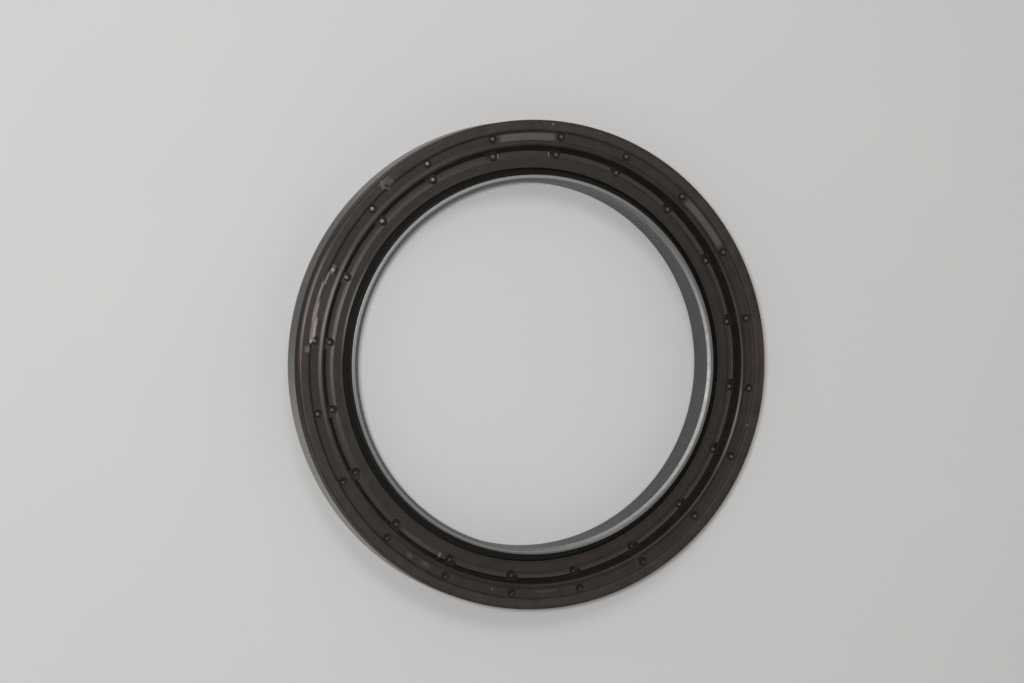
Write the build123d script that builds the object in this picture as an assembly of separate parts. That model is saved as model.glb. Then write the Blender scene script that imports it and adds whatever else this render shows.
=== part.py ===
from build123d import *
import os

# A unitised radial shaft seal for a 120 mm shaft in a 160 mm housing bore, lying on its
# back with its axis on +Z. Millimetres. The origin is on the axis, at the level of the
# surface that the seal lies on.
#
#   seal_element   rubber moulding: front of the outside, stepped face, dust lip, main lip
#   case_insert    pressed steel ring under the rubber, bare round the back of the outside
#   garter_spring  closed coil round the main lip
#   wear_sleeve    steel ring that is pressed on the shaft, with a flange behind the seal

# ---- driving dimensions ---------------------------------------------------------------
shaft_diameter = 120.0
section_height = 20.0  # from the shaft out to the housing bore
ring_width = 15.0

# wear sleeve
sleeve_length = 13.5
sleeve_wall = 2.2
front_lead_in = 1.1  # chamfers in the two mouths of the bore, measured across the wall
front_lead_length = 0.5
back_lead_in = 1.0
flange_thickness = 1.2
flange_gap = 1.0  # between the flange and the case around it

# case insert
sheet_thickness = 1.2
seat_length = 9.1  # bare steel outside, from the back up to the rubber
shoulder_width = 3.6  # slope from the bare outside in under the face
face_cover = 1.3  # rubber over the case under the outer band
groove_cover = 0.7  # rubber over the case under the groove
wall_cover = 0.7  # rubber between the groove and the case beside it
hole_cover = 2.5  # rubber round the case's inner edge

# rubber face, from the outside inwards
edge_chamfer = 0.7
land_width = 3.5
band_width = 3.4  # from the land in to the bead
band_drop = 0.8  # outer band below the land
bead_width = 1.5
bead_height = 0.45
groove_width = 1.5
groove_drop = 5.2  # bottom of the groove below the outer land
inner_band_width = 2.2
inner_band_drop = 4.1
inner_rise = 0.5  # inner land above the inner band
wall_draft = 0.15  # lean of the moulded steps
mouth_gap = 2.0  # from the sleeve out to the wall of the mouth
mouth_draft = 0.3  # lean of that wall

# marks left by the pins that hold the case in the mould
pin_count = 20
pin_sides = 8
pin_tilt = 20.0
pin_depth = 0.7
outer_pin_width = 2.7
outer_pin_inset = 1.65  # from the outer land in to the middle of the pin
inner_pin_width = 1.7
inner_pin_inset = 1.1  # from the groove in to the middle of the pin

# lips and spring
lip_clearance = 0.08  # running clearance of each lip on the sleeve
dust_lip_drop = 6.9  # root of the dust lip below the outer land
dust_lip_root = 1.1
dust_lip_lean = 0.7  # how far its edge stands forward of the root
edge_height = 4.0  # sealing edge above the back of the ring
head_height = 2.4  # back of the lip's head above the back of the ring
head_slope = 1.3  # depth of the slope behind the sealing edge
spring_depth = 3.0  # from the sealing edge out to the middle of the spring
spring_forward = 0.4  # middle of the spring in front of the sealing edge
spring_diameter = 2.0
spring_sides = 6
seat_clearance = 0.05

# ---- radii and levels that follow -----------------------------------------------------
shaft_radius = shaft_diameter / 2
housing_radius = shaft_radius + section_height
sleeve_radius = shaft_radius + sleeve_wall
lip_radius = sleeve_radius + lip_clearance
mouth_radius = sleeve_radius + mouth_gap
spring_radius = lip_radius + spring_depth

land_radius = housing_radius - land_width
bead_outer = land_radius - band_width
groove_outer = bead_outer - bead_width
groove_inner = groove_outer - groove_width
groove_middle = groove_outer - groove_width / 2
inner_land_radius = groove_inner - inner_band_width

front = ring_width
outer_band = front - band_drop
inner_band = front - inner_band_drop
inner_land = inner_band + inner_rise
groove_floor = front - groove_drop
dust_root = front - dust_lip_drop
dust_back = dust_root - dust_lip_root
spring_height = edge_height + spring_forward

case_corner = housing_radius - shoulder_width
case_step = groove_outer + wall_cover
case_hole = mouth_radius + hole_cover
case_face = outer_band - face_cover
case_floor = groove_floor - groove_cover
case_back = case_floor - sheet_thickness


def outline(*points):
    """A section inside straight lines, with x as the radius and y as the height."""
    return make_face(Polyline(*points, close=True))


def spun(section):
    """A section turned once about the axis of the seal."""
    return revolve(Plane.XZ * section, axis=Axis.Z)


def case_section():
    """Pressed sheet: outer wall, shoulder, face, step beside the groove, inner face."""
    skin = Polyline(
        (housing_radius, 0),
        (housing_radius, seat_length),
        (case_corner, case_face),
        (case_step, case_face),
        (case_step, case_floor),
        (case_hole, case_floor),
    )
    return make_face(offset(skin, sheet_thickness, kind=Kind.INTERSECTION, side=Side.LEFT))


def cover_section():
    """Rubber over the case. Its hidden edge runs along the middle of the sheet."""
    middle = sheet_thickness / 2
    bead_side = bead_width / 3
    bead_top = outer_band + bead_height
    return outline(
        (housing_radius, seat_length),
        (housing_radius, front - edge_chamfer),
        (housing_radius - edge_chamfer, front),
        (land_radius, front),
        (land_radius - wall_draft, outer_band),
        (bead_outer, outer_band),
        (bead_outer - bead_side, bead_top),
        (groove_outer + bead_side, bead_top),
        (groove_outer, outer_band),
        (groove_middle, groove_floor),
        (groove_inner, inner_band),
        (inner_land_radius + wall_draft, inner_band),
        (inner_land_radius, inner_land),
        (mouth_radius + mouth_draft, inner_land),
        (mouth_radius, dust_root),
        (mouth_radius, dust_back),
        (case_hole + middle, case_floor - middle),
        (case_step + middle, case_floor - middle),
        (case_step + middle, case_face - middle),
        (case_corner, case_face - middle),
    )


def dust_lip_section():
    """Thin lip that leans forward to the sleeve."""
    return outline(
        (mouth_radius, dust_root),
        (lip_radius, dust_root + dust_lip_lean),
        (mouth_radius, dust_back),
    )


def main_lip_section():
    """Sealing edge, head and flex wall of the main lip, behind the case's inner edge."""
    seat = spring_diameter / 2 + seat_clearance
    head_outer = spring_radius + spring_diameter / 2
    return outline(
        (lip_radius, edge_height),
        (lip_radius + head_slope, head_height),
        (head_outer, head_height),
        (spring_radius - seat, spring_height - seat / 2),
        (spring_radius - seat, spring_height + seat),
        (case_hole, case_back),
        (case_hole, case_floor),
        (mouth_radius, dust_root),
        (mouth_radius, dust_back),
    )


def pin_row(width, radius, surface):
    """One row of mould pins, each pointing down and away from the axis."""
    pin = Rot(0, -pin_tilt, 0) * extrude(RegularPolygon(width / 2, pin_sides), pin_depth, both=True)
    return [Pos(0, 0, surface) * place * pin for place in PolarLocations(radius, pin_count)]


def seal_element():
    """The rubber, with the marks of the mould's pins in its two bands."""
    section = cover_section() + dust_lip_section() + main_lip_section() - case_section()
    body = spun(section)
    body -= pin_row(outer_pin_width, land_radius - outer_pin_inset, outer_band)
    body -= pin_row(inner_pin_width, groove_inner - inner_pin_inset, inner_band)
    return body


def case_insert():
    return spun(case_section())


def garter_spring():
    coil = RegularPolygon(spring_diameter / 2, spring_sides)
    return spun(Pos(spring_radius, spring_height) * coil)


def wear_sleeve():
    """Wall and flange in one, with a chamfered mouth at each end of the bore."""
    flange_radius = housing_radius - sheet_thickness - flange_gap
    return spun(
        outline(
            (shaft_radius + back_lead_in, 0),
            (flange_radius, 0),
            (flange_radius, flange_thickness),
            (sleeve_radius, flange_thickness),
            (sleeve_radius, sleeve_length),
            (shaft_radius + front_lead_in, sleeve_length),
            (shaft_radius, sleeve_length - front_lead_length),
            (shaft_radius, back_lead_in),
        )
    )


os.makedirs("parts", exist_ok=True)
for make in (seal_element, case_insert, garter_spring, wear_sleeve):
    export_step(make(), f"parts/{make.__name__}.step")
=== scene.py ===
import math

import bmesh
import bpy
from mathutils import Matrix, Vector

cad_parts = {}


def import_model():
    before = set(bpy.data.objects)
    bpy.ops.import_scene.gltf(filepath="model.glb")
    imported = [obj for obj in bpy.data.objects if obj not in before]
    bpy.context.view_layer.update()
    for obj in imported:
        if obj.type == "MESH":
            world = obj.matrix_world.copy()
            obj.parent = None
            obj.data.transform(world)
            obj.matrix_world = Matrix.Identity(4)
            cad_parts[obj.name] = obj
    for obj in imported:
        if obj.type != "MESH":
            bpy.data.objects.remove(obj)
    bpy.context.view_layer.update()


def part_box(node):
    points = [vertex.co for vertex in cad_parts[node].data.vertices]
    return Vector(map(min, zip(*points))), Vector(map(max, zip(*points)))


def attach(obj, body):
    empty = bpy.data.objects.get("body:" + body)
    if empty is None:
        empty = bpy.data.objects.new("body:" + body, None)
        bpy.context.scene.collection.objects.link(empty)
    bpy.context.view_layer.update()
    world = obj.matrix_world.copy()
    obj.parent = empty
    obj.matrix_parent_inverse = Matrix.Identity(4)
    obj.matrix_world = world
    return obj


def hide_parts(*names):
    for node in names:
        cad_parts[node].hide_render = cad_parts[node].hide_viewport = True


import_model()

# A shaft seal lying on its back, with its axis on +Z. Shapes are in metres, written as
# millimetres times MM. The finishes place their marks by radius and height in millimetres
# and by the angle round the axis in degrees.
MM = 0.001
TURN = 2 * math.pi

# ---- sizes taken from the frame --------------------------------------------------------
seal_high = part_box("seal_element")[1]
case_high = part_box("case_insert")[1]
sleeve_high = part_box("wear_sleeve")[1]
spring_low, spring_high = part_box("garter_spring")

HOUSING_RADIUS = seal_high.x
FRONT = seal_high.z
CASE_FACE = case_high.z
FLANGE_RADIUS = sleeve_high.x
SLEEVE_FRONT = sleeve_high.z
SPRING_HEIGHT = (spring_low.z + spring_high.z) / 2

# ---- rubber ring -----------------------------------------------------------------------
LAND_RADIUS = HOUSING_RADIUS - 3.5 * MM
BEAD_OUTER = LAND_RADIUS - 3.4 * MM
GROOVE_OUTER = BEAD_OUTER - 1.5 * MM
GROOVE_INNER = GROOVE_OUTER - 1.5 * MM
INNER_LAND_RADIUS = GROOVE_INNER - 2.2 * MM
OUTER_BAND = FRONT - 0.8 * MM
INNER_BAND = FRONT - 4.1 * MM
INNER_LAND = INNER_BAND + 0.3 * MM
GROOVE_FLOOR = FRONT - 5.2 * MM
BEAD_TOP = OUTER_BAND + 0.3 * MM
EDGE_RADIUS = 0.8 * MM

# ---- pressed case ----------------------------------------------------------------------
SHEET = 1.2 * MM
SEAT_LENGTH = 9.1 * MM
SHOULDER_WIDTH = 3.6 * MM
CASE_CORNER = HOUSING_RADIUS - SHOULDER_WIDTH
SHOULDER_TURN = math.atan2(SHOULDER_WIDTH, CASE_FACE - SEAT_LENGTH)
CASE_STEP = GROOVE_OUTER + 0.7 * MM
CASE_FLOOR = GROOVE_FLOOR - 0.7 * MM
CASE_BACK = CASE_FLOOR - SHEET

# ---- sleeve, lips and spring -----------------------------------------------------------
SHAFT_RADIUS = 60 * MM
SLEEVE_WALL = 2.2 * MM
SLEEVE_RADIUS = SHAFT_RADIUS + SLEEVE_WALL
FRONT_LEAD_IN = 1.1 * MM
FRONT_LEAD_LENGTH = 0.5 * MM
BACK_LEAD_IN = 1.0 * MM
FLANGE_THICKNESS = 1.2 * MM

LIP_RADIUS = SLEEVE_RADIUS + 0.08 * MM
MOUTH_RADIUS = SLEEVE_RADIUS + 2.0 * MM
MOUTH_DRAFT = 0.3 * MM
MOUTH_BEAD = 0.5 * MM
CASE_HOLE = MOUTH_RADIUS + 2.5 * MM
DUST_ROOT = FRONT - 6.9 * MM
DUST_BACK = DUST_ROOT - 1.1 * MM
DUST_EDGE = DUST_ROOT + 0.7 * MM
SEALING_EDGE = 4.0 * MM
HEAD_BACK = 2.4 * MM
HEAD_SLOPE = 1.3 * MM
SPRING_RADIUS = LIP_RADIUS + 3.0 * MM
COIL_RADIUS = 1.0 * MM
WIRE_RADIUS = 0.25 * MM
SEAT = COIL_RADIUS + 0.05 * MM

# ---- marks of the mould's pins ---------------------------------------------------------
PIN_COUNT = 20
HALF_PITCH = 180 / PIN_COUNT  # degrees from a pin to halfway to the next
PIN_RADIUS = 1.25 * MM
PIN_RIM = 0.12 * MM
PIN_LEAN = 0.45  # sideways travel for each unit of depth
PIN_CUT_TOP = 1.4 * MM  # how far the cutting shape stands above the face
OUTER_PIN_DEPTH = 0.95 * MM
INNER_PIN_DEPTH = 1.1 * MM
OUTER_PIN_RING = LAND_RADIUS - 1.7 * MM
INNER_PIN_RING = GROOVE_INNER - 1.1 * MM
NOTCH_WIDTH = 3.8 * MM
NOTCH_SHALLOW = 0.25 * MM
NOTCH_DEEP = 0.95 * MM
NOTCH_ROUNDING = 0.22 * MM
NOTCH_START = INNER_LAND_RADIUS + 0.75 * MM
NOTCH_END = GROOVE_INNER + 0.6 * MM
NOTCH_TURN = 0.45  # degrees past the pit beside it

# ---- fineness of the meshes ------------------------------------------------------------
RING_STEPS = 360
PIT_STEPS = 32
BOWL_STEPS = 9
ROUNDING_STEPS = 4  # for each radian that a rounded corner turns
POINTS_PER_COIL = 8
SHARP_ANGLE = math.radians(35)
TOUCHING = 0.0001 * MM  # points nearer than this are one point
CRUMBS = 0.0005 * MM  # the cuts leave edges shorter than this, which are merged


# ---- shapes ----------------------------------------------------------------------------
def linked(name, data):
    """A new object at the origin, linked to the scene."""
    made = bpy.data.objects.new(name, data)
    bpy.context.scene.collection.objects.link(made)
    return made


def finished(name, shape):
    """Turns a bmesh into a named object at the origin."""
    mesh = bpy.data.meshes.new(name)
    shape.to_mesh(mesh)
    shape.free()
    return linked(name, mesh)


def smooth(piece):
    """Smooth shading in which sharp edges stay sharp and wide flats keep one normal."""
    piece.data.shade_smooth()
    piece.data.set_sharp_from_angle(angle=SHARP_ANGLE)
    weighted = piece.modifiers.new("flats", "WEIGHTED_NORMAL")
    weighted.keep_sharp = True


def rounded_section(corners):
    """A closed outline in the XZ plane. Each corner is (radius, height, rounding)."""
    section = bmesh.new()
    verts = [section.verts.new((radius, 0, height)) for radius, height, _ in corners]
    section.faces.new(verts)
    count = len(corners)
    for i, (radius, height, rounding) in enumerate(corners):
        if not rounding:
            continue
        here = Vector((radius, height))
        before = here - Vector(corners[i - 1][:2])
        after = Vector(corners[(i + 1) % count][:2]) - here
        turn = before.angle(after)
        bmesh.ops.bevel(
            section,
            geom=[verts[i]],
            offset=rounding * math.tan(turn / 2),
            offset_type="OFFSET",
            affect="VERTICES",
            segments=max(2, round(turn * ROUNDING_STEPS)),
            profile=0.5,
            material=-1,
        )
    bmesh.ops.delete(section, geom=section.faces[:], context="FACES_ONLY")
    return section


def spin_once(section, steps):
    """Spins a section once about the Z axis into a closed shell."""
    bmesh.ops.spin(
        section,
        geom=section.verts[:] + section.edges[:],
        cent=(0, 0, 0),
        axis=(0, 0, 1),
        angle=TURN,
        steps=steps,
        use_merge=True,
    )


def spun_ring(name, corners):
    """A section spun once about the seal's axis, as a closed mesh."""
    ring = rounded_section(corners)
    spin_once(ring, RING_STEPS)
    bmesh.ops.recalc_face_normals(ring, faces=ring.faces[:])
    return finished(name, ring)


def pin_pocket(depth, ring_radius, surface):
    """One bowl-ended pit with a softened rim, leaning outwards as it goes down."""
    sag = depth - PIN_RIM
    ball = (PIN_RADIUS**2 + sag**2) / (2 * sag)
    rim_angle = math.asin(PIN_RADIUS / ball)
    bowl = [
        (ball * math.sin(a), ball * (1 - math.cos(a)) - depth, 0)
        for a in (rim_angle * (1 - i / BOWL_STEPS) for i in range(BOWL_STEPS))
    ]
    pit = rounded_section(
        [
            (0, PIN_CUT_TOP, 0),
            (PIN_RADIUS + PIN_RIM, PIN_CUT_TOP, 0),
            (PIN_RADIUS + PIN_RIM, 0, 0),
            (PIN_RADIUS + 0.3 * PIN_RIM, -0.3 * PIN_RIM, 0),
            *bowl,
            (0, -depth, 0),
        ]
    )
    axis_edges = [e for e in pit.edges if all(v.co.x < TOUCHING for v in e.verts)]
    bmesh.ops.delete(pit, geom=axis_edges, context="EDGES")
    spin_once(pit, PIT_STEPS)
    bmesh.ops.remove_doubles(pit, verts=pit.verts[:], dist=TOUCHING)
    for vert in pit.verts:
        vert.co.x -= PIN_LEAN * min(vert.co.z, 0)
    bmesh.ops.recalc_face_normals(pit, faces=pit.faces[:])
    bmesh.ops.translate(pit, verts=pit.verts[:], vec=(ring_radius, 0, surface))
    return pit


def notch():
    """A wedge that cuts the notch beside an inner pit, deeper towards the groove."""
    block = bmesh.new()
    bmesh.ops.create_cube(block, size=1)
    size = (NOTCH_END - NOTCH_START, NOTCH_WIDTH, 2 * NOTCH_SHALLOW)
    bmesh.ops.scale(block, vec=size, verts=block.verts[:])
    for vert in block.verts:
        if vert.co.z < 0 and vert.co.x > 0:
            vert.co.z = -NOTCH_DEEP
    bmesh.ops.bevel(
        block,
        geom=block.edges[:],
        offset=NOTCH_ROUNDING,
        affect="EDGES",
        segments=2,
        profile=0.5,
        material=-1,
    )
    middle = (NOTCH_START + NOTCH_END) / 2
    bmesh.ops.translate(block, verts=block.verts[:], vec=(middle, 0, INNER_BAND))
    turn = Matrix.Rotation(math.radians(NOTCH_TURN), 3, "Z")
    bmesh.ops.rotate(block, cent=(0, 0, 0), matrix=turn, verts=block.verts[:])
    return block


def pin_cutter(parts):
    """An object with every given shape, made at 0 degrees, set out round the ring."""
    rows = bmesh.new()
    for part in parts:
        one = bpy.data.meshes.new("pit")
        part.to_mesh(one)
        part.free()
        for i in range(PIN_COUNT):
            start = len(rows.verts)
            rows.from_mesh(one)
            rows.verts.ensure_lookup_table()
            turn = Matrix.Rotation(i * TURN / PIN_COUNT, 3, "Z")
            bmesh.ops.rotate(rows, cent=(0, 0, 0), matrix=turn, verts=rows.verts[start:])
        bpy.data.meshes.remove(one)
    return finished("pin_cutter", rows)


def cut_pin_marks(ring):
    """Cuts the pits and notches into the rubber, and merges the crumbs the cuts leave."""
    outer_pit = pin_pocket(OUTER_PIN_DEPTH, OUTER_PIN_RING, OUTER_BAND)
    inner_pit = pin_pocket(INNER_PIN_DEPTH, INNER_PIN_RING, INNER_BAND)
    cutters = [pin_cutter([notch(), outer_pit]), pin_cutter([inner_pit])]
    for cutter in cutters:
        cut = ring.modifiers.new("pits", "BOOLEAN")
        cut.operation = "DIFFERENCE"
        cut.solver = "EXACT"
        cut.object = cutter
    made = ring.evaluated_get(bpy.context.evaluated_depsgraph_get())
    pitted = bpy.data.meshes.new_from_object(made)
    ring.modifiers.clear()
    ring.data = pitted
    for cutter in cutters:
        bpy.data.objects.remove(cutter)
    cleaned = bmesh.new()
    cleaned.from_mesh(pitted)
    bmesh.ops.remove_doubles(cleaned, verts=cleaned.verts[:], dist=CRUMBS)
    bmesh.ops.dissolve_degenerate(cleaned, edges=cleaned.edges[:], dist=CRUMBS)
    bmesh.ops.recalc_face_normals(cleaned, faces=cleaned.faces[:])
    cleaned.to_mesh(pitted)
    cleaned.free()


def rubber_ring():
    """Cover, stepped face, both lips, and the marks of the pins."""
    piece = spun_ring(
        "rubber_ring",
        [
            (HOUSING_RADIUS, SEAT_LENGTH, 0.1 * MM),
            (HOUSING_RADIUS, FRONT, EDGE_RADIUS),
            (LAND_RADIUS + 0.35 * MM, FRONT, 0.45 * MM),
            (LAND_RADIUS - 0.45 * MM, OUTER_BAND, 0.45 * MM),
            (BEAD_OUTER + 0.3 * MM, OUTER_BAND, 0.8 * MM),
            (BEAD_OUTER - 0.5 * MM, BEAD_TOP, 0.8 * MM),
            (GROOVE_OUTER + 0.45 * MM, BEAD_TOP, 0.6 * MM),
            (GROOVE_OUTER, OUTER_BAND, 0.3 * MM),
            ((GROOVE_OUTER + GROOVE_INNER) / 2, GROOVE_FLOOR, 0.15 * MM),
            (GROOVE_INNER - 0.1 * MM, INNER_BAND + 0.12 * MM, 0.12 * MM),
            (GROOVE_INNER - 0.55 * MM, INNER_BAND, 0.3 * MM),
            (INNER_LAND_RADIUS + 0.7 * MM, INNER_BAND, 0.6 * MM),
            (INNER_LAND_RADIUS - 0.1 * MM, INNER_LAND, 0.6 * MM),
            (MOUTH_RADIUS + MOUTH_DRAFT + 1.6 * MOUTH_BEAD, INNER_LAND, 0.2 * MM),
            (MOUTH_RADIUS + MOUTH_DRAFT + MOUTH_BEAD, INNER_LAND + 0.1 * MM, 0.4 * MM),
            (MOUTH_RADIUS + MOUTH_DRAFT, INNER_LAND + 0.1 * MM, 0.1 * MM),
            (MOUTH_RADIUS, DUST_ROOT, 0.3 * MM),
            (LIP_RADIUS, DUST_EDGE, 0.04 * MM),
            (MOUTH_RADIUS, DUST_BACK, 0.5 * MM),
            (LIP_RADIUS, SEALING_EDGE, 0.04 * MM),
            (LIP_RADIUS + HEAD_SLOPE, HEAD_BACK, 0.2 * MM),
            (SPRING_RADIUS + COIL_RADIUS, HEAD_BACK, 0.15 * MM),
            (SPRING_RADIUS - SEAT, SPRING_HEIGHT - SEAT / 2, 0.3 * MM),
            (SPRING_RADIUS - SEAT, SPRING_HEIGHT + SEAT, 0.3 * MM),
            (CASE_HOLE, CASE_BACK, 0),
            (CASE_HOLE, CASE_FLOOR, 0),
            (CASE_STEP, CASE_FLOOR, 0),
            (CASE_STEP, CASE_FACE, 0),
            (CASE_CORNER, CASE_FACE, 0),
        ],
    )
    cut_pin_marks(piece)
    smooth(piece)
    return piece


def steel_case():
    """Pressed sheet under the rubber, bent with rounded corners."""
    # The back of the sheet turns this far short of its front at the shoulder's two bends.
    short_at_wall = SHEET * math.tan(SHOULDER_TURN / 2)
    short_at_face = SHEET * math.tan((math.pi / 2 - SHOULDER_TURN) / 2)
    inner_step = CASE_STEP + SHEET
    inner_face = CASE_FACE - SHEET
    piece = spun_ring(
        "steel_case",
        [
            (HOUSING_RADIUS - SHEET, 0, 0.15 * MM),
            (HOUSING_RADIUS, 0, 0.2 * MM),
            (HOUSING_RADIUS, SEAT_LENGTH, 0.3 * MM),
            (CASE_CORNER, CASE_FACE, 0.6 * MM),
            (CASE_STEP, CASE_FACE, 0.6 * MM),
            (CASE_STEP, CASE_FLOOR, 0.4 * MM),
            (CASE_HOLE, CASE_FLOOR, 0),
            (CASE_HOLE, CASE_BACK, 0.1 * MM),
            (inner_step, CASE_BACK, 1.0 * MM),
            (inner_step, inner_face, 0.4 * MM),
            (CASE_CORNER - short_at_face, inner_face, 0.6 * MM),
            (HOUSING_RADIUS - SHEET, SEAT_LENGTH - short_at_wall, 0.6 * MM),
        ],
    )
    smooth(piece)
    return piece


def steel_sleeve():
    """Turned sleeve and flange in one."""
    piece = spun_ring(
        "steel_sleeve",
        [
            (SHAFT_RADIUS + BACK_LEAD_IN, 0, 0.1 * MM),
            (FLANGE_RADIUS, 0, 0.25 * MM),
            (FLANGE_RADIUS, FLANGE_THICKNESS, 0.25 * MM),
            (SLEEVE_RADIUS, FLANGE_THICKNESS, 0.4 * MM),
            (SLEEVE_RADIUS, SLEEVE_FRONT, 0.3 * MM),
            (SHAFT_RADIUS + FRONT_LEAD_IN, SLEEVE_FRONT, 0.1 * MM),
            (SHAFT_RADIUS, SLEEVE_FRONT - FRONT_LEAD_LENGTH, 0.1 * MM),
            (SHAFT_RADIUS, BACK_LEAD_IN, 0.1 * MM),
        ],
    )
    smooth(piece)
    return piece


def spring_coil():
    """A close-wound coil of round wire, bent into a ring."""
    coils = round(TURN * SPRING_RADIUS / (2 * WIRE_RADIUS))
    wound = COIL_RADIUS - WIRE_RADIUS
    curve = bpy.data.curves.new("spring_coil", "CURVE")
    curve.dimensions = "3D"
    curve.bevel_depth = WIRE_RADIUS
    curve.bevel_resolution = 0
    wire = curve.splines.new("POLY")
    count = coils * POINTS_PER_COIL
    wire.points.add(count - 1)
    for i, point in enumerate(wire.points):
        round_ring = TURN * i / count
        round_coil = TURN * i / POINTS_PER_COIL
        radius = SPRING_RADIUS + wound * math.cos(round_coil)
        point.co = (
            radius * math.cos(round_ring),
            radius * math.sin(round_ring),
            SPRING_HEIGHT + wound * math.sin(round_coil),
            1,
        )
    wire.use_cyclic_u = True
    wire.use_smooth = True
    line = linked("spring_coil", curve)
    mesh = bpy.data.meshes.new_from_object(line)
    bpy.data.objects.remove(line)
    return linked("spring_coil", mesh)


# ---- nodes -----------------------------------------------------------------------------
def group(name, inputs, outputs):
    """An empty shader node group with float inputs (name, default) and outputs."""
    tree = bpy.data.node_groups.new(name, "ShaderNodeTree")
    for label, value in inputs:
        socket = tree.interface.new_socket(label, in_out="INPUT", socket_type="NodeSocketFloat")
        socket.default_value = value
    for label in outputs:
        tree.interface.new_socket(label, in_out="OUTPUT", socket_type="NodeSocketFloat")
    return tree, tree.nodes.new("NodeGroupInput"), tree.nodes.new("NodeGroupOutput")


def place(tree, made, **values):
    """Puts a node group in a material or in another group, with its own values."""
    node = tree.nodes.new("ShaderNodeGroup")
    node.node_tree = made
    for label, value in values.items():
        node.inputs[label].default_value = value
    return node


def new_material(name):
    """A material, its nodes and its shader."""
    made = bpy.data.materials.new(name)
    made.use_nodes = True
    return made, made.node_tree, made.node_tree.nodes["Principled BSDF"]


def maths(tree, operation, first, second=None, third=None, clamp=False):
    """A Math node. Each operand is a number or a socket."""
    made = tree.nodes.new("ShaderNodeMath")
    made.operation = operation
    made.use_clamp = clamp
    for slot, value in enumerate((first, second, third)):
        if value is None:
            continue
        if isinstance(value, (int, float)):
            made.inputs[slot].default_value = value
        else:
            tree.links.new(value, made.inputs[slot])
    return made.outputs[0]


def times(tree, first, second):
    """The product of two values, which for two masks is where both lie."""
    return maths(tree, "MULTIPLY", first, second)


def either(tree, *masks):
    """The larger of several masks."""
    joined = masks[0]
    for mask in masks[1:]:
        joined = maths(tree, "MAXIMUM", joined, mask)
    return joined


def smooth_step(tree, value, low, high):
    """0 where value is under low, 1 where it is over high, with a soft rise between."""
    made = tree.nodes.new("ShaderNodeMapRange")
    made.interpolation_type = "SMOOTHSTEP"
    made.inputs["From Min"].default_value = low
    made.inputs["From Max"].default_value = high
    tree.links.new(value, made.inputs["Value"])
    return made.outputs["Result"]


def below(tree, value, level, soft):
    """1 where value is below level, fading to 0 over soft."""
    return maths(tree, "SUBTRACT", 1, smooth_step(tree, value, level - soft, level + soft))


def between(tree, value, limits, soft):
    """1 where value lies between two limits, fading to 0 over soft."""
    low, high = limits
    rise = smooth_step(tree, value, low - soft, low + soft)
    fall = smooth_step(tree, value, high - soft, high + soft)
    return maths(tree, "SUBTRACT", rise, fall, clamp=True)


def blend(tree, mask, first, second):
    """Colour first where mask is 0 and second where it is 1."""
    made = tree.nodes.new("ShaderNodeMix")
    made.data_type = "RGBA"
    tree.links.new(mask, made.inputs["Factor"])
    for name, value in (("A", first), ("B", second)):
        socket = [s for s in made.inputs if s.name == name and s.type == "RGBA"][0]
        if isinstance(value, tuple):
            socket.default_value = value
        else:
            tree.links.new(value, socket)
    return [s for s in made.outputs if s.type == "RGBA"][0]


def lay(tree, ground, coats):
    """Lays coats on a ground in their order. Each coat is (mask, colour)."""
    for mask, colour in coats:
        ground = blend(tree, mask, ground, colour)
    return ground


def bump(tree, shader, height, strength, distance):
    """Feeds a height map to the shader's normals."""
    made = tree.nodes.new("ShaderNodeBump")
    made.inputs["Strength"].default_value = strength
    made.inputs["Distance"].default_value = distance
    tree.links.new(height, made.inputs["Height"])
    tree.links.new(made.outputs["Normal"], shader.inputs["Normal"])


# ---- effects shared by the materials ---------------------------------------------------
def ring_place():
    """Where a point is on the seal: radius and height in millimetres, angle in degrees, and
    how far across (X) and along (Y) its direction from the axis goes."""
    tree, _, out = group("Ring place", [], ["Radius", "Angle", "Height", "Across", "Along"])
    where = tree.nodes.new("ShaderNodeTexCoord")
    split = tree.nodes.new("ShaderNodeSeparateXYZ")
    tree.links.new(where.outputs["Object"], split.inputs[0])
    x, y, z = split.outputs
    radius = maths(tree, "SQRT", maths(tree, "ADD", times(tree, x, x), times(tree, y, y)))
    values = {
        "Radius": times(tree, radius, 1 / MM),
        "Angle": maths(tree, "DEGREES", maths(tree, "ARCTAN2", y, x)),
        "Height": times(tree, z, 1 / MM),
        "Across": maths(tree, "DIVIDE", x, radius),
        "Along": maths(tree, "DIVIDE", y, radius),
    }
    for label, value in values.items():
        tree.links.new(value, out.inputs[label])
    return tree


def circular_marks(ring):
    """Fine marks that run round the axis, as a lathe or a wiped mould leaves them."""
    tree, given, out = group(
        "Circular marks", [("Fineness", 6.0), ("Length", 3.0), ("Contrast", 0.5)], ["Marks"]
    )
    at = place(tree, ring)
    fineness, length = given.outputs["Fineness"], given.outputs["Length"]
    joined = tree.nodes.new("ShaderNodeCombineXYZ")
    tree.links.new(times(tree, at.outputs["Radius"], fineness), joined.inputs[0])
    tree.links.new(times(tree, at.outputs["Across"], length), joined.inputs[1])
    tree.links.new(times(tree, at.outputs["Along"], length), joined.inputs[2])
    noise = tree.nodes.new("ShaderNodeTexNoise")
    noise.noise_dimensions = "4D"
    noise.inputs["Scale"].default_value = 1
    noise.inputs["Detail"].default_value = 3
    tree.links.new(joined.outputs[0], noise.inputs["Vector"])
    tree.links.new(times(tree, at.outputs["Height"], fineness), noise.inputs["W"])
    centred = maths(tree, "SUBTRACT", noise.outputs["Fac"], 0.5)
    scaled = times(tree, centred, given.outputs["Contrast"])
    tree.links.new(maths(tree, "ADD", scaled, 0.5, clamp=True), out.inputs["Marks"])
    return tree


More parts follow.
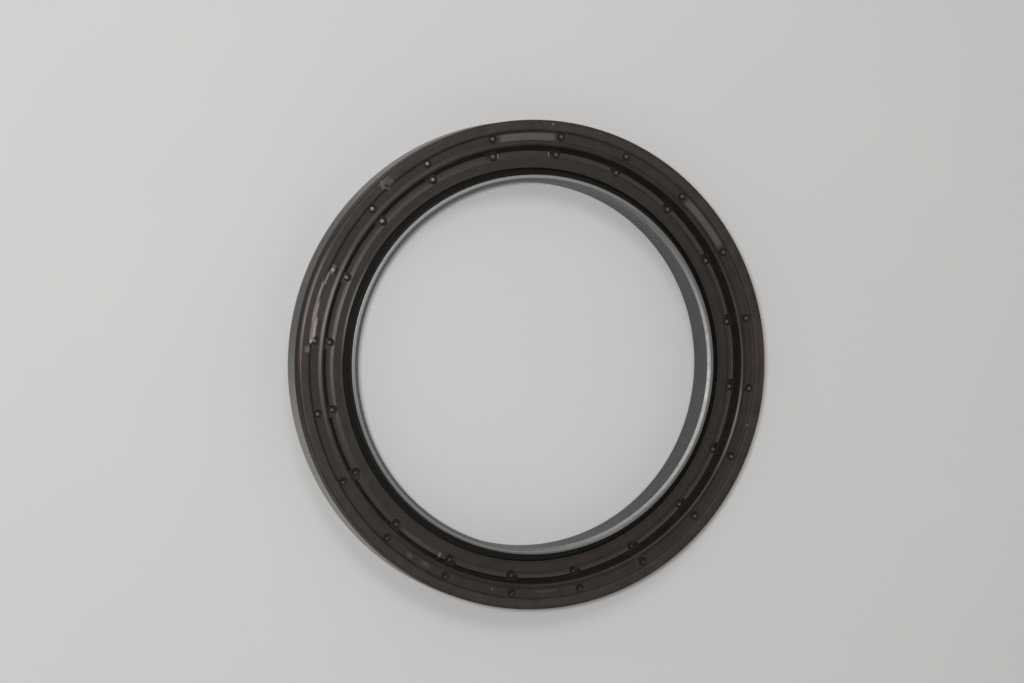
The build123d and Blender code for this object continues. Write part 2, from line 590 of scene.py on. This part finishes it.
def mottle():
    """Cloudy variation of a finish, and stray specks on it. Size is in millimetres."""
    tree, given, out = group(
        "Mottle", [("Size", 3.0), ("Specks", 0.74)], ["Cloud", "Grain", "Speck"]
    )
    where = tree.nodes.new("ShaderNodeTexCoord").outputs["Object"]
    scale = maths(tree, "DIVIDE", 1 / MM, given.outputs["Size"])
    grain_fineness = 14  # against 1 for the clouds
    speck_fineness = 4.5
    speck_contrast = 14

    def noise(fineness, detail):
        made = tree.nodes.new("ShaderNodeTexNoise")
        made.inputs["Detail"].default_value = detail
        tree.links.new(where, made.inputs["Vector"])
        tree.links.new(times(tree, scale, fineness), made.inputs["Scale"])
        return made.outputs["Fac"]

    tree.links.new(noise(1, 3), out.inputs["Cloud"])
    tree.links.new(noise(grain_fineness, 2), out.inputs["Grain"])
    specks = maths(tree, "SUBTRACT", noise(speck_fineness, 0), given.outputs["Specks"])
    specks = maths(tree, "MULTIPLY", specks, speck_contrast, clamp=True)
    tree.links.new(specks, out.inputs["Speck"])
    return tree


RING = ring_place()
MARKS = circular_marks(RING)
MOTTLE = mottle()


# ---- places on the ring ----------------------------------------------------------------
def mm(length):
    """A length in metres as millimetres, which the finishes count in."""
    return length / MM


def degrees_from(tree, at, middle, reach=180):
    """Degrees round the ring from middle, counted afresh every two reaches."""
    turned = maths(tree, "SUBTRACT", at.outputs["Angle"], middle)
    return maths(tree, "WRAP", turned, reach, -reach)


def around(tree, at, middle, spread, soft):
    """1 within spread degrees of an angle on the ring, fading to 0 over soft."""
    return below(tree, maths(tree, "ABSOLUTE", degrees_from(tree, at, middle)), spread, soft)


def patch(tree, at, radii, middle, spread, soft_across, soft_round):
    """A mask between two radii and within spread degrees of middle, with soft edges."""
    across = between(tree, at.outputs["Radius"], radii, soft_across)
    return times(tree, across, around(tree, at, middle, spread, soft_round))


def blot(tree, at, ragged, radius, angle, across, along):
    """Distance from the middle of a ragged oval, 1 at its edge. Its half sizes are in mm."""
    outwards = times(tree, maths(tree, "SUBTRACT", at.outputs["Radius"], radius), 1 / across)
    sideways = times(tree, degrees_from(tree, at, angle), math.radians(radius) / along)
    squares = maths(tree, "ADD", times(tree, outwards, outwards), times(tree, sideways, sideways))
    raggedness = 1.6
    return maths(
        tree,
        "MULTIPLY_ADD",
        maths(tree, "SUBTRACT", ragged, 0.5),
        raggedness,
        maths(tree, "SQRT", squares),
    )


# ---- rubber ----------------------------------------------------------------------------
# Colours of the rubber and of the marks on it. Some are painted shade, for the pits, notches and
# gap, and some painted highlights, for the pits' tips and the edges.
BLACK = (0.0088, 0.0064, 0.0050, 1)
OLIVE = (0.0196, 0.0160, 0.0098, 1)
PLUM = (0.0220, 0.0134, 0.0112, 1)
BLOOM = (0.049, 0.037, 0.028, 1)
PANEL = (0.066, 0.057, 0.049, 1)
BROWNED = (0.060, 0.026, 0.012, 1)
REDDISH = (0.040, 0.019, 0.016, 1)
# Painted shade for hollows and notches, and round the pits.
HOLLOW_SHADE = (0.0085, 0.0068, 0.0056, 1)
# Painted shade in the gap behind the mouth, the darker one for the left side.
GAP_SHADE = (0.0108, 0.0085, 0.0070, 1)
GAP_DEEP_SHADE = (0.0045, 0.0036, 0.0030, 1)
# Painted highlights for the pits' tips, dim and bright.
DIM_TIP_HIGHLIGHT = (0.055, 0.049, 0.044, 1)
TIP_HIGHLIGHT = (0.20, 0.185, 0.165, 1)
# Pale marks, and also the painted highlights on edges.
PALE = (0.14, 0.125, 0.11, 1)
SCUFFED = (0.48, 0.41, 0.395, 1)
TORN = (0.105, 0.082, 0.070, 1)
SPECK = (0.12, 0.11, 0.10, 1)

# Radii in millimetres between which a part of the face, or an edge on it, lies.
OUTER_LAND_ZONE = (mm(LAND_RADIUS) + 0.1, mm(HOUSING_RADIUS) - 0.1)
INNER_BAND_ZONE = (mm(INNER_LAND_RADIUS) - 0.2, mm(GROOVE_INNER) + 0.1)
PAD_ZONE = (mm(BEAD_OUTER) + 0.3, mm(LAND_RADIUS) - 0.3)
OUTER_PIT_ZONE = (mm(BEAD_OUTER) + 0.1, mm(LAND_RADIUS) - 0.15)
INNER_PIT_ZONE = (mm(INNER_LAND_RADIUS) - 0.2, mm(GROOVE_INNER) - 0.15)
NOTCH_ZONE = (mm(GROOVE_INNER) - 0.9, mm(GROOVE_INNER) + 0.5)
POST_ZONE = (mm(INNER_LAND_RADIUS) + 0.5, mm(GROOVE_INNER) - 0.2)
RIM_ZONE = (mm(HOUSING_RADIUS) - 1.1, mm(HOUSING_RADIUS) + 0.1)
BEAD_ZONE = (mm(GROOVE_OUTER) - 0.1, mm(BEAD_OUTER) + 0.3)
INNER_STEP_ZONE = (mm(INNER_LAND_RADIUS) - 0.4, mm(INNER_LAND_RADIUS) + 0.8)
BEAD_EDGE = (mm(BEAD_OUTER) - 0.8, mm(BEAD_OUTER) - 0.15)
INNER_STEP_EDGE = (mm(INNER_LAND_RADIUS) - 0.4, mm(INNER_LAND_RADIUS) + 0.05)
MOUTH_EDGE = (mm(MOUTH_RADIUS) + 0.3, mm(MOUTH_RADIUS) + 0.95)

# The strokes of the long scrape, and one faint streak elsewhere on the band: radii, middle
# and spread in degrees, softness across and round the ring, strength.
STROKES = (
    ((74.6, 75.9), 162.0, 1.0, 0.25, 0.5, 0.7),
    ((75.8, 76.5), 164.5, 1.6, 0.2, 0.6, 1.0),
    ((76.2, 77.1), 168.5, 3.0, 0.25, 0.8, 1.0),
    ((75.8, 77.1), 173.0, 2.6, 0.35, 0.8, 1.0),
    ((75.2, 76.9), 177.3, 2.8, 0.4, 0.8, 1.0),
    ((74.0, 74.5), 278.7, 2.2, 0.2, 1.0, 0.1),
)
TIP_SHARE = 0.86  # share of a pit's depth at which its tip starts


def mottled_ground(tree, cloud, wide_cloud, grain):
    """Black to brown in small clouds, and the brown from olive to plum in wide ones."""
    tint = smooth_step(tree, wide_cloud, 0.4, 0.6)
    grains = times(tree, smooth_step(tree, grain, 0.3, 0.7), 0.45)
    clouds = smooth_step(tree, cloud, 0.3, 0.7)
    mottling = maths(tree, "MULTIPLY_ADD", clouds, 0.55, grains)
    return blend(tree, mottling, BLACK, blend(tree, tint, OLIVE, PLUM))


def mould_coats(tree, at, marks, cloud):
    """Faces that show the mould's circular marks, and the two smooth panels."""
    radius = at.outputs["Radius"]
    inner_band = between(tree, radius, INNER_BAND_ZONE, soft=0.25)
    outer_land = times(tree, between(tree, radius, OUTER_LAND_ZONE, soft=0.3), cloud)
    wiped = either(
        tree,
        times(tree, inner_band, times(tree, marks, 0.7)),
        times(tree, outer_land, times(tree, marks, 0.8)),
    )
    first = patch(tree, at, (73.5, 75.7), middle=99, spread=7.2, soft_across=0.35, soft_round=0.9)
    second = patch(tree, at, (73.8, 75.9), middle=45, spread=7.2, soft_across=0.35, soft_round=0.9)
    panels = either(tree, first, times(tree, second, 0.85))
    panels = times(tree, panels, maths(tree, "MULTIPLY_ADD", cloud, 0.5, 0.75))
    return [(wiped, BLOOM), (panels, PANEL)]


def pin_pads(tree, at):
    """Pads round the outer pits, on the surface of the band, where shade is painted."""
    from_pin = maths(tree, "ABSOLUTE", degrees_from(tree, at, 0, HALF_PITCH))
    near_pin = below(tree, from_pin, 1.2, soft=0.15)
    on_band = between(tree, at.outputs["Radius"], PAD_ZONE, soft=0.2)
    surface = mm(OUTER_BAND)
    on_surface = smooth_step(tree, at.outputs["Height"], surface - 0.12, surface - 0.02)
    return times(tree, times(tree, near_pin, on_band), on_surface)


def pin_tips(tree, at):
    """The bottoms of the pits in both rows."""
    outer_level = mm(OUTER_BAND - TIP_SHARE * OUTER_PIN_DEPTH)
    inner_level = mm(INNER_BAND - TIP_SHARE * INNER_PIN_DEPTH)
    outer_row = between(tree, at.outputs["Radius"], OUTER_PIT_ZONE, soft=0.02)
    inner_row = between(tree, at.outputs["Radius"], INNER_PIT_ZONE, soft=0.05)
    return either(
        tree,
        times(tree, outer_row, below(tree, at.outputs["Height"], outer_level, soft=0.06)),
        times(tree, inner_row, below(tree, at.outputs["Height"], inner_level, soft=0.06)),
    )


def pin_coats(tree, at, tips):
    """Painted shade in the notches, painted highlights in the pits' tips that give way to painted
    shade on one side of the ring, and pale posts beside two of the inner pits.
    """
    radius = at.outputs["Radius"]
    from_notch = maths(tree, "ABSOLUTE", degrees_from(tree, at, NOTCH_TURN, HALF_PITCH))
    sunk = below(tree, at.outputs["Height"], mm(INNER_BAND) - 0.1, soft=0.1)
    # Painted shade in the notches.
    notches = times(tree, between(tree, radius, NOTCH_ZONE, soft=0.3), sunk)
    notches = times(tree, notches, below(tree, from_notch, 1.62, soft=0.2))
    # The tips' painted highlight is brightest on one side of the ring and turns to painted shade
    # on another.
    highlight_side = around(tree, at, 140, spread=22, soft=18)
    shaded_side = around(tree, at, 262, spread=58, soft=10)
    tip_highlight = blend(tree, highlight_side, DIM_TIP_HIGHLIGHT, TIP_HIGHLIGHT)
    tip_highlight = blend(tree, shaded_side, tip_highlight, HOLLOW_SHADE)
    beside_notch = between(tree, from_notch, (1.6, 1.85), soft=0.06)
    posts = times(tree, beside_notch, around(tree, at, 99, spread=8.8, soft=0.1))
    posts = times(tree, posts, between(tree, radius, POST_ZONE, soft=0.1))
    return [(notches, HOLLOW_SHADE), (tips, tip_highlight), (posts, PALE)]


def edge_coats(tree, at):
    """A reddened stretch of the outer band, and painted highlights on edges: the front edge and
    the step edges on one side, the bead's ridge on the other.
    """
    radius = at.outputs["Radius"]
    reddened = patch(tree, at, (73.8, 75.6), middle=170, spread=5, soft_across=0.4, soft_round=2)
    # Painted highlight on the front edge on one side.
    front_edge_highlight = patch(tree, at, (79.2, 80.2), middle=172, spread=11, soft_across=0.3, soft_round=8)
    near_front = smooth_step(tree, at.outputs["Height"], mm(FRONT) - 0.8, mm(FRONT) - 0.4)
    # Painted highlights along the step edges on one side and along the bead's ridge on the other.
    step_edges = either(
        tree,
        between(tree, radius, BEAD_EDGE, soft=0.25),
        between(tree, radius, INNER_STEP_EDGE, soft=0.15),
        between(tree, radius, MOUTH_EDGE, soft=0.15),
    )
    step_edges = times(tree, step_edges, around(tree, at, 170, spread=9, soft=9))
    ridge = patch(tree, at, (71.8, 72.5), middle=350, spread=7, soft_across=0.3, soft_round=9)
    edge_highlights = either(tree, step_edges, times(tree, ridge, 0.85))
    return [
        (times(tree, reddened, 0.55), REDDISH),
        (times(tree, times(tree, front_edge_highlight, near_front), 0.75), PALE),
        (times(tree, edge_highlights, 0.8), PALE),
    ]


def wear_coats(tree, at, ragged, grain):
    """The scrape with its burr, smears, a torn spot with a painted highlight on its lifted edge
    and painted shade in its hole, and grit.
    """

    def stain(radius, angle, across, along, edge, soft, strength=1.0):
        oval = blot(tree, at, ragged, radius, angle, across, along)
        return times(tree, below(tree, oval, edge, soft), strength)

    strokes = either(
        tree, *(times(tree, patch(tree, at, *stroke), strength) for *stroke, strength in STROKES)
    )
    broken = maths(tree, "MULTIPLY_ADD", ragged, 0.9, 0.3, clamp=True)
    strokes = times(tree, strokes, times(tree, smooth_step(tree, grain, 0.3, 0.6), broken))
    burr = stain(76.4, 180.2, across=0.6, along=0.9, edge=0.8, soft=0.2)
    smudge = stain(77.3, 182.2, across=1.2, along=1.5, edge=0.7, soft=0.35, strength=0.16)
    dusty = patch(tree, at, (68.4, 69.8), middle=242, spread=6, soft_across=0.4, soft_round=3)
    tear = blot(tree, at, ragged, 77.7, 137.2, across=2.0, along=2.6)
    # Painted highlight on one side of the tear's lifted edge.
    lifted_edge_highlight = between(tree, tear, (0.62, 0.85), soft=0.12)
    lifted_edge_highlight = times(tree, lifted_edge_highlight, around(tree, at, 138.6, spread=1.1, soft=0.6))
    coats = [
        (either(tree, burr, smudge, strokes), SCUFFED),
        (stain(69.5, 249.0, across=1.2, along=0.4, edge=0.8, soft=0.25, strength=0.9), PALE),
        (stain(74.8, 241.4, across=0.8, along=1.2, edge=0.9, soft=0.4, strength=0.5), PANEL),
        (stain(74.4, 246.0, across=0.8, along=1.8, edge=0.9, soft=0.4, strength=0.5), PANEL),
        (times(tree, dusty, 0.3), PANEL),
        (times(tree, below(tree, tear, 0.85, soft=0.2), 0.4), TORN),
        (times(tree, lifted_edge_highlight, 0.7), PALE),
        # Painted shade in the tear's hole.
        (stain(77.4, 137.8, across=0.5, along=0.6, edge=0.9, soft=0.25), HOLLOW_SHADE),
    ]
    for radius, angle, size in ((76.5, 350.7, 0.3), (78.8, 92.6, 0.5), (74.5, 264.7, 0.35)):
        grit = stain(radius, angle, across=size, along=size, edge=0.9, soft=0.3, strength=0.6)
        coats.append((grit, PALE))
    return coats


def rubber_roughness(tree, at, marks, cloud, pads, tips, gap):
    """Satin, smoother on the edges and in the pits, duller in the gap and on worn wall."""
    radius = at.outputs["Radius"]
    edges = either(
        tree,
        between(tree, radius, RIM_ZONE, soft=0.15),
        between(tree, radius, BEAD_ZONE, soft=0.1),
        between(tree, radius, INNER_STEP_ZONE, soft=0.1),
    )
    edges = times(tree, edges, maths(tree, "SUBTRACT", 1, pads, clamp=True))
    wall = times(
        tree,
        smooth_step(tree, radius, mm(HOUSING_RADIUS) - 0.3, mm(HOUSING_RADIUS) - 0.05),
        below(tree, at.outputs["Height"], mm(FRONT) - 0.7, soft=0.2),
    )
    polished = either(tree, maths(tree, "SUBTRACT", edges, wall, clamp=True), tips)
    worn_wall = times(tree, wall, around(tree, at, 176, spread=22, soft=12))
    rough = maths(tree, "MULTIPLY_ADD", cloud, 0.12, 0.48)
    rough = maths(tree, "MULTIPLY_ADD", marks, 0.08, rough)
    rough = maths(tree, "MULTIPLY_ADD", polished, -0.17, rough)
    return maths(tree, "MULTIPLY_ADD", either(tree, worn_wall, gap), 0.3, rough)


def moulded_rubber():
    """Brown-black rubber with a satin mould finish, the marks of the pins, some wear, painted
    shade in the gap and round the pits, and painted highlights on edges and tips.
    """
    made, tree, shader = new_material("moulded_rubber")
    at = place(tree, RING)
    marks = place(tree, MARKS, Fineness=5.0, Length=4.0, Contrast=1.6).outputs["Marks"]
    clouds = place(tree, MOTTLE, Size=4.0, Specks=0.86).outputs
    wide_clouds = place(tree, MOTTLE, Size=11.0).outputs
    fine_clouds = place(tree, MOTTLE, Size=1.1).outputs
    cloud, ragged, grain = clouds["Cloud"], fine_clouds["Cloud"], fine_clouds["Grain"]

    heated = patch(tree, at, (78.8, 80.1), middle=7, spread=8, soft_across=0.4, soft_round=4)
    pads = pin_pads(tree, at)
    tips = pin_tips(tree, at)
    # The gap behind the mouth, where painted shade is laid, darker on the left.
    gap = below(tree, at.outputs["Radius"], mm(MOUTH_RADIUS) + 0.1, soft=0.15)
    gap_shade_colour = blend(tree, around(tree, at, 160, spread=70, soft=30), GAP_SHADE, GAP_DEEP_SHADE)
    coats = [
        *mould_coats(tree, at, marks, cloud),
        (times(tree, heated, 0.8), BROWNED),
        # Painted shade round the outer pits.
        (times(tree, pads, 0.6), HOLLOW_SHADE),
        (gap, gap_shade_colour),
        *pin_coats(tree, at, tips),
        *edge_coats(tree, at),
        *wear_coats(tree, at, ragged, grain),
        (clouds["Speck"], SPECK),
    ]
    ground = lay(tree, mottled_ground(tree, cloud, wide_clouds["Cloud"], grain), coats)
    tree.links.new(ground, shader.inputs["Base Color"])
    rough = rubber_roughness(tree, at, marks, cloud, pads, tips, gap)
    tree.links.new(rough, shader.inputs["Roughness"])
    shader.inputs["Specular IOR Level"].default_value = 0.31
    height_map = maths(tree, "MULTIPLY_ADD", marks, 0.6, clouds["Grain"])
    bump(tree, shader, height_map, 0.35, 0.03 * MM)
    return made


# ---- metals and floor ------------------------------------------------------------------
def turned_steel():
    """Bare steel with the marks of the lathe, darker in the bore, and painted shade on the rim's
    front on two sides.
    """
    made, tree, shader = new_material("turned_steel")
    at = place(tree, RING)
    radius, height = at.outputs["Radius"], at.outputs["Height"]
    marks = place(tree, MARKS, Fineness=14.0, Length=1.5, Contrast=1.4).outputs["Marks"]
    clouds = place(tree, MOTTLE, Size=3.0).outputs
    light = (0.40, 0.40, 0.395, 1)
    dark = (0.10, 0.102, 0.099, 1)
    # Used for the lead-in's streaks and for the painted shade on the rim.
    dull_and_shade = (0.085, 0.088, 0.084, 1)
    bore_light = (0.122, 0.125, 0.124, 1)
    bore_dark = (0.098, 0.101, 0.096, 1)
    bore_radius = mm(SHAFT_RADIUS)
    front = mm(SLEEVE_FRONT)

    chatter = smooth_step(tree, clouds["Grain"], 0.3, 0.7)
    chatter = maths(tree, "MULTIPLY_ADD", chatter, 0.45, times(tree, marks, 0.55))
    lead_in = between(tree, radius, (bore_radius + 0.08, bore_radius + 1.08), soft=0.05)
    streaks = maths(tree, "SUBTRACT", 0.95, marks, clamp=True)
    rim = times(tree, smooth_step(tree, radius, bore_radius + 0.7, bore_radius + 1.2), 0.5)
    outer_rim = times(tree, smooth_step(tree, radius, bore_radius + 1.1, bore_radius + 1.7), 0.65)
    # Painted shade on the rim's front on two sides of the ring.
    painted_shade = either(
        tree,
        times(tree, rim, around(tree, at, 6, spread=65, soft=25)),
        times(tree, outer_rim, around(tree, at, 241, spread=58, soft=22)),
    )
    at_front = smooth_step(tree, height, front - 1, front - 0.6)
    bore = below(tree, radius, bore_radius + 0.06, soft=0.04)
    coats = [
        (times(tree, lead_in, streaks), dull_and_shade),
        (times(tree, painted_shade, at_front), dull_and_shade),
        (bore, blend(tree, marks, bore_dark, bore_light)),
    ]
    ground = lay(tree, blend(tree, chatter, dark, light), coats)
    tree.links.new(ground, shader.inputs["Base Color"])
    shader.inputs["Metallic"].default_value = 1
    rough = maths(tree, "MULTIPLY_ADD", clouds["Cloud"], 0.16, 0.42)
    tree.links.new(rough, shader.inputs["Roughness"])
    bump(tree, shader, marks, 0.4, 0.01 * MM)
    return made


def phosphated_steel():
    """Dull grey pressed sheet, with a painted warm reflection on one side and painted shade on
    another.
    """
    made, tree, shader = new_material("phosphated_steel")
    at = place(tree, RING)
    clouds = place(tree, MOTTLE, Size=2.0).outputs
    light = (0.31, 0.315, 0.31, 1)
    dark = (0.23, 0.235, 0.23, 1)
    warm_reflection = (0.40, 0.375, 0.345, 1)
    painted_shade = (0.13, 0.135, 0.13, 1)
    # Painted warm reflection on one side of the wall, painted shade on another.
    coats = [
        (around(tree, at, 222, spread=18, soft=30), warm_reflection),
        (around(tree, at, 166, spread=22, soft=14), painted_shade),
    ]
    ground = lay(tree, blend(tree, clouds["Grain"], dark, light), coats)
    tree.links.new(ground, shader.inputs["Base Color"])
    shader.inputs["Metallic"].default_value = 0.8
    rough = maths(tree, "MULTIPLY_ADD", clouds["Cloud"], 0.2, 0.5)
    tree.links.new(rough, shader.inputs["Roughness"])
    bump(tree, shader, clouds["Grain"], 0.3, 0.02 * MM)
    return made


def drawn_wire():
    """Bright spring wire with a trace of oil."""
    made, tree, shader = new_material("drawn_wire")
    cloud = place(tree, MOTTLE, Size=1.5).outputs["Cloud"]
    light = (0.5, 0.49, 0.47, 1)
    dark = (0.3, 0.29, 0.27, 1)
    tree.links.new(blend(tree, cloud, dark, light), shader.inputs["Base Color"])
    shader.inputs["Metallic"].default_value = 1
    rough = maths(tree, "MULTIPLY_ADD", cloud, 0.2, 0.25)
    tree.links.new(rough, shader.inputs["Roughness"])
    return made


def pale_floor():
    """Near-white floor in very faint clouds."""
    made, tree, shader = new_material("pale_floor")
    cloud = place(tree, MOTTLE, Size=60.0).outputs["Cloud"]
    light = (0.53, 0.525, 0.515, 1)
    shade = (0.51, 0.506, 0.50, 1)
    tree.links.new(blend(tree, cloud, shade, light), shader.inputs["Base Color"])
    shader.inputs["Roughness"].default_value = 0.6
    return made


# ---- camera, lamps and floor -----------------------------------------------------------
EYE = Vector((-0.3285, -0.0032, FRONT + 1.0054))
LOOKED_AT = Vector((-0.00950, 0.00672, FRONT))
PICTURE_TOP = Vector((-0.1059, 0.9941, -0.0239))
FOCAL_LENGTH = 113.94  # millimetres, as the sensor's width is
SENSOR_WIDTH = 36
FLOOR_REACH = 3  # metres from its middle to each side


def camera():
    """A camera that looks down on the face, a little from one side."""
    made = bpy.data.cameras.new("camera")
    made.lens = FOCAL_LENGTH
    made.sensor_width = SENSOR_WIDTH
    holder = linked("camera", made)
    ahead = (LOOKED_AT - EYE).normalized()
    right = ahead.cross(PICTURE_TOP).normalized()
    up = right.cross(ahead)
    turned = Matrix((right, up, -ahead)).transposed().to_4x4()
    holder.matrix_world = Matrix.Translation(EYE) @ turned
    bpy.context.scene.camera = holder


def lamp(name, stand, size, power):
    """A soft square lamp that faces the seal."""
    made = bpy.data.lights.new(name, "AREA")
    made.size = size
    made.energy = power
    holder = linked(name, made)
    holder.location = stand
    holder.rotation_euler = (-Vector(stand)).to_track_quat("-Z", "Y").to_euler()


def floor():
    """A wide pale floor under the seal."""
    shape = bmesh.new()
    bmesh.ops.create_grid(shape, x_segments=1, y_segments=1, size=FLOOR_REACH)
    piece = finished("floor", shape)
    piece.data.materials.append(pale_floor())


def world():
    """Even, slightly warm light from all round."""
    made = bpy.data.worlds.new("soft_room")
    made.use_nodes = True
    background = made.node_tree.nodes["Background"]
    background.inputs["Color"].default_value = (1.0, 0.985, 0.96, 1)
    background.inputs["Strength"].default_value = 0.42
    bpy.context.scene.world = made


# ---- the seal --------------------------------------------------------------------------
def dress(piece, body, node, material):
    """Gives a modelled piece its finish, its body and the CAD node it stands for."""
    piece.data.materials.clear()
    piece.data.materials.append(material)
    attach(piece, body)
    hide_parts(node)


camera()
floor()
world()
lamp("front_lamp", stand=(-0.39, 0.03, 1.03), size=0.10, power=6.4)
lamp("top_lamp", stand=(-0.1, 0.45, 0.95), size=0.3, power=2.2)

dress(rubber_ring(), "outer_ring", "seal_element", moulded_rubber())
dress(steel_case(), "outer_ring", "case_insert", phosphated_steel())
dress(spring_coil(), "outer_ring", "garter_spring", drawn_wire())
dress(steel_sleeve(), "sleeve", "wear_sleeve", turned_steel())

bpy.context.scene.view_settings.view_transform = "Standard"
